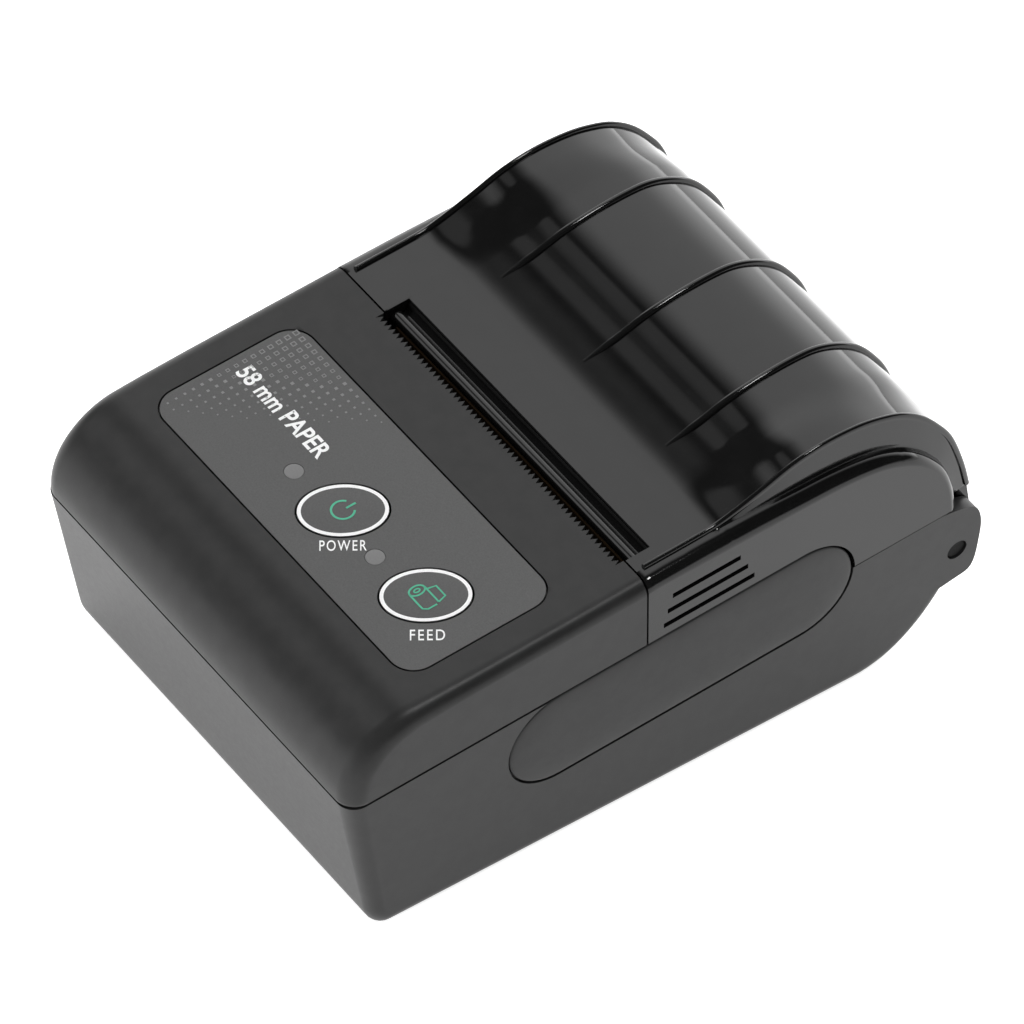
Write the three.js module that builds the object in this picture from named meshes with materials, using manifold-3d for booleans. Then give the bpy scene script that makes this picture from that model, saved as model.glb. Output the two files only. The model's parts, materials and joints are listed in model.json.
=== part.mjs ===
// A 58 mm mobile receipt printer: millimetres, +Z up, control panel at -Y, cover hinge at +Y.
// Everything is drawn in the case's own axes (x across, y back from the front edge, z up from the
// parting line between the covers and the lower case) and then tilted, because the floor of the
// case slopes 4 degrees against the parting line.
import * as THREE from "three";
import { mergeVertices } from "three/addons/utils/BufferGeometryUtils.js";
import Module from "manifold-3d";

const wasm = await Module();
wasm.setup();

// Driving dimensions of the case
const HALF_WIDTH = 39.1;
const TOP_Z = 13.8;
const WALL = 2;
const EDGE_ROUND = 3;
const FRONT_ROLL = 13;
const SEAM_Y = 53.9;
const SEAM_GAP = 0.3;
const FLOOR_TILT = THREE.MathUtils.degToRad(4);
const FLOOR_Z = -31.35; // height the floor's plane would have at y = 0
const FRONT_LEAN = 0.145; // how far the front face runs back for each mm down

// Cover, hinge and side grips
const HINGE = { y: 111.9, z: -19.6, barrel: 4.5, bore: 1.8, pin: 1.6 };
const BULGE_HALF_WIDTH = 36.1;
const SKIRT_Z = -9.1; // lower edge of the cover behind the grips
const GRIP = { front: 38, back: 82.6, z: -9.3, radius: 9.1 };
const RIB = { pitch: 20.5, middle: -0.8, front: 72.1, height: 0.6, width: 1.2 };
const GROOVES = [
  { z: 8.1, front: 58.3, back: 70.7 },
  { z: 5.2, front: 57.4, back: 72.1 },
  { z: 2.35, front: 56.7, back: 73.3 },
];
const SLOT = { left: -26.6, right: 33.4, back: 58.3 };

// Control panel
const PANEL = { half: 32.6, front: 15.3, back: 42.1, corner: 4, thick: 0.7 };
const KEY = { major: 6.8, minor: 5, turn: THREE.MathUtils.degToRad(57), thick: 1.6 };
const KEYS = { power: { x: 1.2, y: 26.3 }, feed: { x: 21.5, y: 26.6 } };
const WINDOW_RADIUS = 1.25;
const WINDOWS = { power: { x: -9.2, y: 24.9 }, status: { x: 11.2, y: 24.9 } };

// Print mechanism
const PLATEN = { y: 58.9, z: 4.6, radius: 4.8, shaft: 1.5, left: -26.3, right: 33.1 };
const GEAR_MODULE = 0.5;
const TEETH = { platen: 22, idler: 24, pinion: 12 };
const GEAR_LEFT = -35.8;
const GEAR_RIGHT = -32.6;
const MESH_GAP = 0.05;
const LEFT_PLATE = [-31.9, -29.9];
const RIGHT_PLATE = [35.3, 36.8];
const FIT = 0.15; // radial clearance of shafts and pins in their bores

// Paper bucket: a trough for a 40 mm roll
const BUCKET = { y: 84.5, z: -10.5, radius: 22, wall: 1.5, left: -26.8, right: 33.2, rim: -1.5 };

// Boards and battery
const MAIN_BOARD = { x: 36, front: 14, back: 40.5, low: -8.8, top: -7.2 };
const KEY_BOARD = { x: 30, front: 13.5, back: 42, low: 3.6, top: 5.2 };
const BATTERY = { x: 28, front: 6.5, back: 36.5, low: -28.5, top: -10.5 };
const DOOR = { x: 30, front: 9, back: 43 };
const USB = { front: 16.3, back: 23.8, low: -6.9, top: -4.1 };

const body = new THREE.Group();
const printer = new THREE.Group();
printer.add(body);

// ---------- helpers ----------

function finish(color, roughness, metalness = 0) {
  return new THREE.MeshStandardMaterial({ color, roughness, metalness });
}

function solid(geometry) {
  const bare = geometry.index ? geometry.toNonIndexed() : geometry.clone();
  bare.deleteAttribute("normal");
  bare.deleteAttribute("uv");
  const merged = mergeVertices(bare, 1e-4);
  return new wasm.Manifold(
    new wasm.Mesh({
      numProp: 3,
      vertProperties: merged.attributes.position.array,
      triVerts: new Uint32Array(merged.index.array),
    }),
  );
}

function addPart(name, shape, material, place = [0, 0, 0]) {
  const mesh = shape.getMesh();
  const geometry = new THREE.BufferGeometry();
  geometry.setAttribute("position", new THREE.BufferAttribute(mesh.vertProperties, 3));
  geometry.setIndex(new THREE.BufferAttribute(mesh.triVerts, 1));
  geometry.computeVertexNormals();
  const part = new THREE.Mesh(geometry, material);
  part.name = name;
  part.position.set(...place);
  body.add(part);
  return part;
}

// A side view (y, z) drawn out along x, with its edges rounded by round.
const SIDE_VIEW = new THREE.Matrix4().makeBasis(
  new THREE.Vector3(0, 1, 0),
  new THREE.Vector3(0, 0, 1),
  new THREE.Vector3(1, 0, 0),
);

function sideExtrude(shape, left, right, round = 0, curveSegments = 8) {
  const geometry = extrude(shape, right - left, round, curveSegments);
  return solid(geometry.applyMatrix4(SIDE_VIEW).translate(left, 0, 0));
}

// A plan (x, y) drawn up along z.
function planExtrude(shape, low, top, round = 0, curveSegments = 8) {
  return solid(extrude(shape, top - low, round, curveSegments).translate(0, 0, low));
}

function extrude(shape, depth, round, curveSegments) {
  const geometry = new THREE.ExtrudeGeometry(shape, {
    depth: depth - 2 * round,
    bevelEnabled: round > 0,
    bevelThickness: round,
    bevelSize: round,
    bevelOffset: -round,
    bevelSegments: 2,
    curveSegments,
  });
  return geometry.translate(0, 0, round);
}

function box(left, right, front, back, low, top) {
  const geometry = new THREE.BoxGeometry(right - left, back - front, top - low);
  geometry.translate((left + right) / 2, (front + back) / 2, (low + top) / 2);
  return solid(geometry);
}

function rodX(radius, left, right, y = 0, z = 0, sides = 14) {
  const geometry = new THREE.CylinderGeometry(radius, radius, right - left, sides);
  geometry.rotateZ(Math.PI / 2);
  return solid(geometry.translate((left + right) / 2, y, z));
}

function rodZ(radius, low, top, x = 0, y = 0, sides = 14) {
  const geometry = new THREE.CylinderGeometry(radius, radius, top - low, sides);
  geometry.rotateX(Math.PI / 2);
  return solid(geometry.translate(x, y, (low + top) / 2));
}

function polygon(points) {
  return new THREE.Shape(points.map(([u, v]) => new THREE.Vector2(u, v)));
}

function unite(first, ...others) {
  return others.reduce((whole, piece) => whole.add(piece), first);
}

function cut(first, ...others) {
  return others.reduce((whole, piece) => whole.subtract(piece), first);
}

// An open run of points moved sideways by distance, to the right of its direction.
function offsetRun(points, distance) {
  return points.map((point, i) => {
    const before = points[Math.max(i - 1, 0)];
    const after = points[Math.min(i + 1, points.length - 1)];
    const along = after.clone().sub(before).normalize();
    return new THREE.Vector2(point.x + along.y * distance, point.y - along.x * distance);
  });
}

const floorZ = (y) => FLOOR_Z - Math.tan(FLOOR_TILT) * y;

// ---------- outlines, all in side view ----------

function frontOutline(inset) {
  const shape = new THREE.Shape();
  const rollZ = TOP_Z - FRONT_ROLL;
  shape.moveTo(inset, -12);
  shape.lineTo(inset, rollZ);
  shape.absarc(FRONT_ROLL, rollZ, FRONT_ROLL - inset, Math.PI, Math.PI / 2, true);
  shape.lineTo(70, TOP_Z - inset);
  shape.lineTo(70, -12);
  return shape;
}

function caseOutline(inset) {
  const shape = new THREE.Shape();
  const frontY = (z) => inset - FRONT_LEAN * z;
  const toeY = frontY(floorZ(4));
  const heelY = 104 - inset * 0.6;
  shape.moveTo(frontY(10), 10);
  shape.lineTo(frontY(-27.5), -27.5);
  shape.quadraticCurveTo(toeY, floorZ(toeY) + inset, toeY + 3, floorZ(toeY + 3) + inset);
  shape.lineTo(92.9, floorZ(92.9) + inset);
  shape.quadraticCurveTo(heelY, floorZ(heelY) + inset, 111.8 - inset, -25.3);
  shape.lineTo(111.8 - inset, 10);
  return shape;
}

// The roll bulge along the middle of the cover: outer skin moved in by inset.
function bulgeOutline(inset, low) {
  const knots = [
    [50, 13.8], [60, 13.8], [66, 13.85], [71, 14.6], [76.5, 16.4], [83, 17.8], [90.5, 18.5],
    [97, 17.9], [102.5, 15.4], [107, 11.2], [110.7, 5], [113.6, -2.5], [115.6, -10.5], [116.3, -17.5],
  ];
  const curve = new THREE.SplineCurve(knots.map(([y, z]) => new THREE.Vector2(y, z)));
  const run = offsetRun(curve.getPoints(26), inset);
  const last = run[run.length - 1];
  return new THREE.Shape([
    ...run,
    new THREE.Vector2(last.x, low),
    new THREE.Vector2(run[0].x, low),
  ]);
}

// The lower shoulders on both sides of the bulge.
function shoulderOutline(inset, low) {
  const knots = [
    [50, 13.8], [60, 13.8], [68, 14], [75, 15], [82, 15.5], [90, 14.9], [97.5, 13.2], [102.8, 10.6],
    [106.3, 7.4], [108.6, 3.8], [109.9, -1], [110.2, -9.1],
  ];
  const curve = new THREE.SplineCurve(knots.map(([y, z]) => new THREE.Vector2(y, z)));
  const run = offsetRun(curve.getPoints(20), inset);
  const last = run[run.length - 1];
  return new THREE.Shape([
    ...run,
    new THREE.Vector2(last.x, low),
    new THREE.Vector2(run[0].x, low),
  ]);
}

function gripOutline(radius) {
  const shape = new THREE.Shape();
  shape.absarc(GRIP.front, GRIP.z, radius, Math.PI / 2, (3 * Math.PI) / 2, false);
  shape.absarc(GRIP.back, GRIP.z, radius, -Math.PI / 2, Math.PI / 2, false);
  return shape;
}

// Everything above the line where the covers meet the lower case, raised by gap.
function aboveParting(gap) {
  const shape = new THREE.Shape();
  shape.moveTo(-20, gap);
  shape.lineTo(GRIP.back, gap);
  shape.absarc(GRIP.back, GRIP.z, gap - GRIP.z, Math.PI / 2, 0, true);
  shape.lineTo(GRIP.back + gap - GRIP.z, SKIRT_Z - SEAM_GAP / 2 + gap);
  shape.lineTo(140, SKIRT_Z - SEAM_GAP / 2 + gap);
  shape.lineTo(140, 60);
  shape.lineTo(-20, 60);
  return sideExtrude(shape, -60, 60);
}

// ---------- outer shells ----------

const caseBlack = finish(0x2b2b2c, 0.62);
const coverGloss = finish(0x121213, 0.16);
const innerBlack = finish(0x1c1c1d, 0.6);
const steel = finish(0xb9bcc0, 0.3, 1);
const boardGreen = finish(0x1d4a33, 0.5);

const CASE_POSTS = [-33.8, 33.8].map((x) => ({ x, y: 10, top: -9.3, seat: -14 }));
const REAR_POSTS = [-24, 30].map((x) => ({ x, y: 102.6, top: -29.2, seat: -31.5 }));
const MECH_POSTS = [-8, 31].map((x) => ({ x, y: 47 }));
const DOOR_SCREW = { x: 0, y: 40 };

function lowerCase() {
  const outer = sideExtrude(caseOutline(0), -HALF_WIDTH, HALF_WIDTH, EDGE_ROUND);
  const inner = sideExtrude(caseOutline(WALL), WALL - HALF_WIDTH, HALF_WIDTH - WALL, EDGE_ROUND - WALL);
  const barrelSpace = box(-BULGE_HALF_WIDTH - 0.4, BULGE_HALF_WIDTH + 0.4, 104, 120, -25.3, 20);
  const posts = [...CASE_POSTS, ...REAR_POSTS].map((p) =>
    rodZ(3.3, -45, p.top, p.x, p.y).intersect(outer),
  );
  const mechPosts = MECH_POSTS.map((p) => rodZ(3, floorZ(p.y) + 1, -23.4, p.x, p.y));
  const doorBridge = unite(
    box(-5, 5, 37.6, 47, floorZ(40) + 2.6, floorZ(40) + 5.2),
    box(-5, 5, DOOR.back + 0.6, 47, floorZ(47) + 1, floorZ(40) + 4),
  );
  const walls = unite(cut(outer, inner), ...posts, ...mechPosts, doorBridge);
  const cutters = [
    aboveParting(-SEAM_GAP / 2),
    barrelSpace,
    ...[-1, 1].map((side) => gripRecess(side)),
    ...CASE_POSTS.concat(REAR_POSTS).map((p) => rodZ(2.5, -45, p.seat, p.x, p.y)),
    ...CASE_POSTS.concat(REAR_POSTS).map((p) => rodZ(1.3, -45, p.top + 1, p.x, p.y, 12)),
    ...MECH_POSTS.map((p) => rodZ(1.15, -31, -20, p.x, p.y, 12)),
    doorOpening(),
    rodZ(1, -45, floorZ(40) + 6, DOOR_SCREW.x, DOOR_SCREW.y, 12),
    box(-45, -36, USB.front - 0.4, USB.back + 0.4, USB.low - 0.4, USB.top + 0.4),
  ];
  return cut(unite(cut(walls, ...cutters), ...hingeEars()), rodX(HINGE.bore, -45, 45, HINGE.y, HINGE.z));
}

function doorOpening() {
  const front = DOOR.front - SEAM_GAP;
  const back = DOOR.back + SEAM_GAP;
  const top = WALL + 0.4;
  const outline = polygon([
    [front, -45],
    [back, -45],
    [back, floorZ(back) + top],
    [front, floorZ(front) + top],
  ]);
  return sideExtrude(outline, -DOOR.x - SEAM_GAP, DOOR.x + SEAM_GAP);
}

function hingeEars() {
  const outline = polygon([
    [104, -9.6], [110, -9.7], [114.6, -11.3], [116.2, -14.9],
    [116, -20], [114.8, -25.2], [111.3, -26.3], [104, -27],
  ]);
  const inner = BULGE_HALF_WIDTH + 0.4;
  return [sideExtrude(outline, -HALF_WIDTH, -inner, 0.5), sideExtrude(outline, inner, HALF_WIDTH, 0.5)];
}

function gripRecess(side) {
  const floor = HALF_WIDTH - 1;
  const outline = gripOutline(GRIP.radius + SEAM_GAP);
  return side > 0 ? sideExtrude(outline, floor, 45) : sideExtrude(outline, -45, -floor);
}

function grip(side) {
  const back = HALF_WIDTH - 0.7;
  const outline = gripOutline(GRIP.radius);
  const proud = sideExtrude(outline, back - 2, HALF_WIDTH + 0.3, 0.8);
  const plate = proud.subtract(box(-60, back, -10, 130, -60, 60));
  return side > 0 ? plate : solid(mirrored(plate));
}

function mirrored(shape) {
  const mesh = shape.getMesh();
  const geometry = new THREE.BufferGeometry();
  geometry.setAttribute("position", new THREE.BufferAttribute(mesh.vertProperties.slice(), 3));
  geometry.setIndex(new THREE.BufferAttribute(mesh.triVerts.slice().reverse(), 1));
  return geometry.applyMatrix4(new THREE.Matrix4().makeScale(-1, 1, 1));
}

function frontCover() {
  const outer = sideExtrude(frontOutline(0), -HALF_WIDTH, HALF_WIDTH, EDGE_ROUND);
  const inner = sideExtrude(frontOutline(WALL), WALL - HALF_WIDTH, HALF_WIDTH - WALL, EDGE_ROUND - WALL);
  const screwPosts = CASE_POSTS.map((p) => rodZ(3, p.top + 0.3, TOP_Z - 1.4, p.x, p.y));
  const keyPosts = KEY_SCREWS.map((p) => rodZ(2.4, KEY_BOARD.top + 0.3, TOP_Z - 1.5, p.x, p.y, 12));
  const behindSeam = box(-60, 60, SEAM_Y - SEAM_GAP, 120, -60, 60);
  const shell = cut(outer, inner, behindSeam, belowParting());
  const panelBed = planExtrude(panelOutline(SEAM_GAP), TOP_Z - PANEL.thick - SEAM_GAP, 30);
  const cutters = [
    panelBed,
    tearNotch(),
    ...panelHoles(0.35, 0, 30),
    ...CASE_POSTS.map((p) => rodZ(1.2, -20, -2, p.x, p.y, 12)),
    ...KEY_SCREWS.map((p) => rodZ(1, 0, 10.5, p.x, p.y, 12)),
  ];
  return cut(unite(shell, ...screwPosts, ...keyPosts), ...cutters);
}

function belowParting() {
  return box(-60, 60, -20, 140, -80, SEAM_GAP / 2);
}

// The row of tear teeth along the rear edge: the notch's front side runs in and out.
function tearNotch() {
  const pitch = 1.3;
  const root = 52.1;
  const tip = 53.1;
  const count = Math.floor((SLOT.right - SLOT.left) / pitch);
  const start = (SLOT.left + SLOT.right - count * pitch) / 2;
  const points = [[start, 60], [start, root]];
  for (let i = 0; i < count; i += 1) {
    points.push([start + (i + 0.5) * pitch, tip]);
    points.push([start + (i + 1) * pitch, root]);
  }
  points.push([start + count * pitch, 60]);
  return planExtrude(polygon(points), 0, 30);
}

function panelOutline(grow) {
  const right = PANEL.half + grow;
  const front = PANEL.front - grow;
  const back = PANEL.back + grow;
  const r = PANEL.corner + grow;
  const shape = new THREE.Shape();
  shape.absarc(right - r, front + r, r, -Math.PI / 2, 0, false);
  shape.absarc(right - r, back - r, r, 0, Math.PI / 2, false);
  shape.absarc(r - right, back - r, r, Math.PI / 2, Math.PI, false);
  shape.absarc(r - right, front + r, r, Math.PI, (3 * Math.PI) / 2, false);
  return shape;
}

function keyOutline(grow) {
  const shape = new THREE.Shape();
  shape.absellipse(0, 0, KEY.major + grow, KEY.minor + grow, 0, 2 * Math.PI, false, KEY.turn);
  return shape;
}

function panelHoles(grow, low, top) {
  const plate = planExtrude(keyOutline(grow), low, top, 0, 20);
  const keys = Object.values(KEYS).map((k) => plate.translate([k.x, k.y, 0]));
  const windows = Object.values(WINDOWS).map((w) => rodZ(WINDOW_RADIUS + grow, low, top, w.x, w.y));
  return [...keys, ...windows];
}

function labelPanel() {
  const plate = planExtrude(panelOutline(0), TOP_Z - PANEL.thick, TOP_Z);
  return cut(plate, ...panelHoles(SEAM_GAP, 0, 30));
}

function key() {
  const cap = planExtrude(keyOutline(0), -KEY.thick, 0.1, 0, 20);
  const stem = rodZ(1.6, -4, -KEY.thick + 0.5, 0, 0, 12);
  return unite(cap, stem);
}

// ---------- paper cover ----------

function paperCover() {
  const inner = HALF_WIDTH - WALL;
  const bulgeInner = BULGE_HALF_WIDTH - 1.5;
  const sides = sideExtrude(shoulderOutline(0, -14), -HALF_WIDTH, HALF_WIDTH, EDGE_ROUND)
    .intersect(aboveParting(SEAM_GAP / 2));
  const bulge = sideExtrude(bulgeOutline(0, -17.5), -BULGE_HALF_WIDTH, BULGE_HALF_WIDTH, 1)
    .intersect(aboveParting(SEAM_GAP / 2).add(box(-60, 60, 107, 130, -16.9, 30)));
  const hollow = unite(
    sideExtrude(shoulderOutline(WALL, -40), -inner, inner, 1),
    sideExtrude(bulgeOutline(WALL, -40), -bulgeInner, bulgeInner, 0.5),
  );
  const shell = cut(
    unite(sides, bulge, ...ribs()),
    hollow,
    box(-60, 60, -20, SEAM_Y, -60, 60),
    box(SLOT.left, SLOT.right, 40, SLOT.back, 0, 30),
    ...grooves(),
  );
  const barrel = rodX(HINGE.barrel, -BULGE_HALF_WIDTH, BULGE_HALF_WIDTH, HINGE.y, HINGE.z, 20);
  return cut(unite(shell, barrel), rodX(HINGE.bore, -45, 45, HINGE.y, HINGE.z));
}

function ribs() {
  return [-1, 0, 1].map((i) => {
    const x = RIB.middle + i * RIB.pitch;
    const profile = sideExtrude(bulgeOutline(-RIB.height, -20), x - RIB.width / 2, x + RIB.width / 2);
    return profile.intersect(box(-60, 60, RIB.front, 112.5, 0, 60));
  });
}

function grooves() {
  const depth = 0.8;
  const half = 0.5;
  return GROOVES.flatMap((g) => [
    box(HALF_WIDTH - depth, 45, g.front, g.back, g.z - half, g.z + half),
    box(-45, depth - HALF_WIDTH, g.front, g.back, g.z - half, g.z + half),
  ]);
}

// The rolled lip that guides the paper out, just behind the tear teeth.
function exitLip() {
  const shape = new THREE.Shape();
  shape.moveTo(54.7, 10.2);
  shape.lineTo(54.7, 11.7);
  shape.absarc(55.5, 11.7, 0.8, Math.PI, 0, true);
  shape.quadraticCurveTo(56.6, 10.9, 58.4, 11.2);
  shape.lineTo(60, 11.4);
  shape.lineTo(60, 10.2);
  return sideExtrude(shape, SLOT.left + 0.3, SLOT.right - 0.3);
}

function platenHolder() {
  const arm = polygon([
    [56.2, 1.6], [61.6, 1.6], [70, 8.5], [70, 11.5], [60.3, 11.5], [60.3, 9.6], [56.2, 7.6],
  ]);
  const plate = box(PLATEN.left - 2.9, PLATEN.right + 1.9, 64.6, 70, 10, 11.5);
  const arms = unite(
    sideExtrude(arm, PLATEN.left - 2.9, PLATEN.left - 1.3),
    sideExtrude(arm, PLATEN.right + 0.6, PLATEN.right + 1.9),
  );
  return cut(unite(plate, arms), rodX(PLATEN.shaft + FIT, -45, 45, PLATEN.y, PLATEN.z));
}

// ---------- gear train ----------

// The way the platen leaves its seats when the cover starts to open, as a unit vector.
const reach = new THREE.Vector2(PLATEN.y - HINGE.y, PLATEN.z - HINGE.z);
const LEAVE = new THREE.Vector2(reach.y, -reach.x).normalize();
const pitchRadius = (teeth) => (teeth * GEAR_MODULE) / 2;
const idlerSpan = pitchRadius(TEETH.platen) + pitchRadius(TEETH.idler) + MESH_GAP;
const pinionSpan = pitchRadius(TEETH.idler) + pitchRadius(TEETH.pinion) + MESH_GAP;
const IDLER = { y: PLATEN.y - LEAVE.x * idlerSpan, z: PLATEN.z - LEAVE.y * idlerSpan };
const PINION_WAY = THREE.MathUtils.degToRad(-120);
const PINION = {
  y: IDLER.y + Math.cos(PINION_WAY) * pinionSpan,
  z: IDLER.z + Math.sin(PINION_WAY) * pinionSpan,
};

// Each tooth angle below puts a tooth of one gear into a gap of the one before it.
const IDLER_WAY = Math.atan2(-LEAVE.y, -LEAVE.x);
const PLATEN_TOOTH = IDLER_WAY;
const IDLER_TOOTH = IDLER_WAY + Math.PI + Math.PI / TEETH.idler;
const PINION_TOOTH =
  PINION_WAY + Math.PI + Math.PI / TEETH.pinion - ((IDLER_TOOTH - PINION_WAY) * TEETH.idler) / TEETH.pinion;

function gear(teeth, toothAngle, bore) {
  const root = pitchRadius(teeth) - 1.1 * GEAR_MODULE;
  const tip = pitchRadius(teeth) + 0.75 * GEAR_MODULE;
  const step = (2 * Math.PI) / teeth;
  const corners = [[-0.27, root], [-0.11, tip], [0.11, tip], [0.27, root]];
  const points = [];
  for (let i = 0; i < teeth; i += 1) {
    corners.forEach(([part, radius]) => {
      const angle = toothAngle + (i + part) * step;
      points.push([Math.cos(angle) * radius, Math.sin(angle) * radius]);
    });
  }
  const disc = sideExtrude(polygon(points), GEAR_LEFT, GEAR_RIGHT);
  return bore > 0 ? disc.subtract(rodX(bore, -45, 0)) : disc;
}

function motorPinion() {
  const shaft = rodX(1, GEAR_RIGHT - 0.5, -29.6);
  return gear(TEETH.pinion, PINION_TOOTH, 0).add(shaft);
}

// ---------- mechanism ----------

function mechFrame() {
  const plate = new THREE.Shape();
  plate.moveTo(44, -23);
  plate.lineTo(60.4, -23);
  plate.lineTo(64.6, 0);
  plate.lineTo(64.6, 6.4);
  plate.lineTo(54, 6.4);
  plate.lineTo(50.5, 3);
  plate.lineTo(44, 3);
  const slotRadius = 3.3;
  const slot = unite(
    rodX(slotRadius, -45, 45, PLATEN.y, PLATEN.z, 20),
    sideExtrude(slotOutline(slotRadius), -45, 45),
  );
  const plates = unite(sideExtrude(plate, ...LEFT_PLATE), sideExtrude(plate, ...RIGHT_PLATE));
  const shell = unite(
    plates,
    box(LEFT_PLATE[0], RIGHT_PLATE[1], 44, 60.4, -23, -21.5),
    box(LEFT_PLATE[0], RIGHT_PLATE[1], 44, 45.5, -5, 3),
    box(LEFT_PLATE[0], RIGHT_PLATE[1], 59, 60.4, -23, -6),
  );
  return cut(
    shell,
    slot,
    rodX(1.5 + FIT, -45, -20, IDLER.y, IDLER.z),
    rodX(1 + 2 * FIT, -45, -20, PINION.y, PINION.z),
    ...MECH_POSTS.map((p) => rodZ(1.3, -30, -20, p.x, p.y, 12)),
  );
}

function slotOutline(half) {
  const side = new THREE.Vector2(LEAVE.y, -LEAVE.x).multiplyScalar(half);
  const length = 14;
  return polygon([
    [PLATEN.y - side.x, PLATEN.z - side.y],
    [PLATEN.y + side.x, PLATEN.z + side.y],
    [PLATEN.y + side.x + LEAVE.x * length + 2, PLATEN.z + side.y + LEAVE.y * length],
    [PLATEN.y - side.x + LEAVE.x * length, PLATEN.z - side.y + LEAVE.y * length],
  ]);
}

function headSpring() {
  const turns = 3;
  const points = [];
  const steps = 24;
  for (let i = 0; i <= steps; i += 1) {
    const angle = (i / steps) * turns * 2 * Math.PI;
    points.push(new THREE.Vector3(1.6 * Math.cos(angle), (2.3 * i) / steps, 1.6 * Math.sin(angle)));
  }
  const wire = new THREE.Shape();
  wire.absarc(0, 0, 0.25, 0, 2 * Math.PI, false);
  const path = new THREE.CatmullRomCurve3(points);
  const geometry = new THREE.ExtrudeGeometry(wire, { extrudePath: path, steps: 24, curveSegments: 2 });
  return solid(geometry);
}

function headRibbon() {
  const path = [[53, -3.4], [53, -9], [50, -11.5], [45, -11], [42, -6.2], [40.3, -5.6]];
  const run = path.map(([y, z]) => new THREE.Vector2(y, z));
  const shape = new THREE.Shape([...run, ...offsetRun(run, 0.3).reverse()]);
  return sideExtrude(shape, -4, 24);
}

function printHead() {
  return box(PLATEN.left, PLATEN.right, 52.4, 53.5, -3, 9.5);
}

function headHeatsink() {
  const plate = box(PLATEN.left, PLATEN.right, 50.4, 52.1, -4.5, 9.5);
  const fin = box(PLATEN.left + 1, PLATEN.right - 1, 48.6, 50.6, 6.5, 8);
  return plate.add(fin);
}

function stepperMotor() {
  const can = rodX(7, -29.3, -16, 0, 0, 24);
  const lugs = box(-29.3, -28.3, -9.5, 9.5, -2, 2);
  return can.add(lugs.intersect(rodX(9.2, -30, -28, 0, 0, 24)));
}

function paperBucket() {
  const trough = (radius, low) => {
    const shape = new THREE.Shape();
    shape.moveTo(BUCKET.y - radius, BUCKET.rim);
    shape.absarc(BUCKET.y, BUCKET.z, radius, Math.PI, 2 * Math.PI, false);
    shape.lineTo(BUCKET.y + radius, low);
    shape.lineTo(BUCKET.y - radius, BUCKET.rim + (low > 0 ? 40 : 0));
    return shape;
  };
  const wall = BUCKET.wall;
  const outline = trough(BUCKET.radius + wall, -8);
  const outer = sideExtrude(outline, BUCKET.left - wall, BUCKET.right + wall, 0, 16);
  const inner = sideExtrude(trough(BUCKET.radius, 30), BUCKET.left, BUCKET.right, 0, 16);
  const bosses = REAR_POSTS.map((p) => rodZ(2.8, -28.9, -25.6, p.x, p.y, 12));
  const bores = REAR_POSTS.map((p) => rodZ(1.15, -30, -26.4, p.x, p.y, 12));
  return cut(unite(outer, ...bosses), inner, ...bores);
}

// ---------- electronics, battery, fasteners ----------

const KEY_SCREWS = [-26.5, 27].map((x) => ({ x, y: 39.2 }));

function board(part, holes = []) {
  const plate = box(-part.x, part.x, part.front, part.back, part.low, part.top);
  return cut(plate, ...holes.map((p) => rodZ(1.3, -40, 40, p.x, p.y, 12)));
}

function tactSwitch() {
  return unite(box(-3, 3, -3, 3, 0, 3.2), rodZ(1.7, 3, 3.8, 0, 0, 12));
}

function usbSocket() {
  const shell = box(-38.8, -31.5, USB.front, USB.back, USB.low, USB.top);
  const mouth = box(-45, -33, USB.front + 0.5, USB.back - 0.5, USB.low + 0.5, USB.top - 0.5);
  const tongue = box(-38, -32, USB.front + 1.8, USB.back - 1.8, USB.low + 1.1, USB.low + 1.7);
  return unite(cut(shell, mouth), tongue);
}

function screw(headRadius, headHeight, shankRadius, length) {
  const head = rodZ(headRadius, 0, headHeight, 0, 0, 12);
  const slotAlong = box(-0.35, 0.35, -1.3, 1.3, -1, 0.6);
  const slotAcross = box(-1.3, 1.3, -0.35, 0.35, -1, 0.6);
  const slotted = head.subtract(slotAlong).subtract(slotAcross);
  return slotted.add(rodZ(shankRadius, headHeight - 0.2, headHeight + length, 0, 0, 8));
}

function batteryDoor() {
  const { front, back } = DOOR;
  const plate = polygon([
    [front, floorZ(front)],
    [back, floorZ(back)],
    [back, floorZ(back) + WALL],
    [front, floorZ(front) + WALL],
  ]);
  const head = rodZ(2.3, -45, floorZ(DOOR_SCREW.y) + 1.3, DOOR_SCREW.x, DOOR_SCREW.y);
  const hole = rodZ(1.2, -45, -20, DOOR_SCREW.x, DOOR_SCREW.y, 12);
  return cut(sideExtrude(plate, -DOOR.x, DOOR.x), head, hole);
}

function batteryPack() {
  const half = BATTERY.top - BATTERY.low;
  const shape = new THREE.Shape();
  const z = BATTERY.low + half / 2;
  shape.absarc(BATTERY.front + half / 2, z, half / 2, Math.PI / 2, (3 * Math.PI) / 2, false);
  shape.absarc(BATTERY.back - half / 2, z, half / 2, -Math.PI / 2, Math.PI / 2, false);
  return sideExtrude(shape, -BATTERY.x, BATTERY.x, 1, 5);
}

// ---------- assembly ----------

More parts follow.
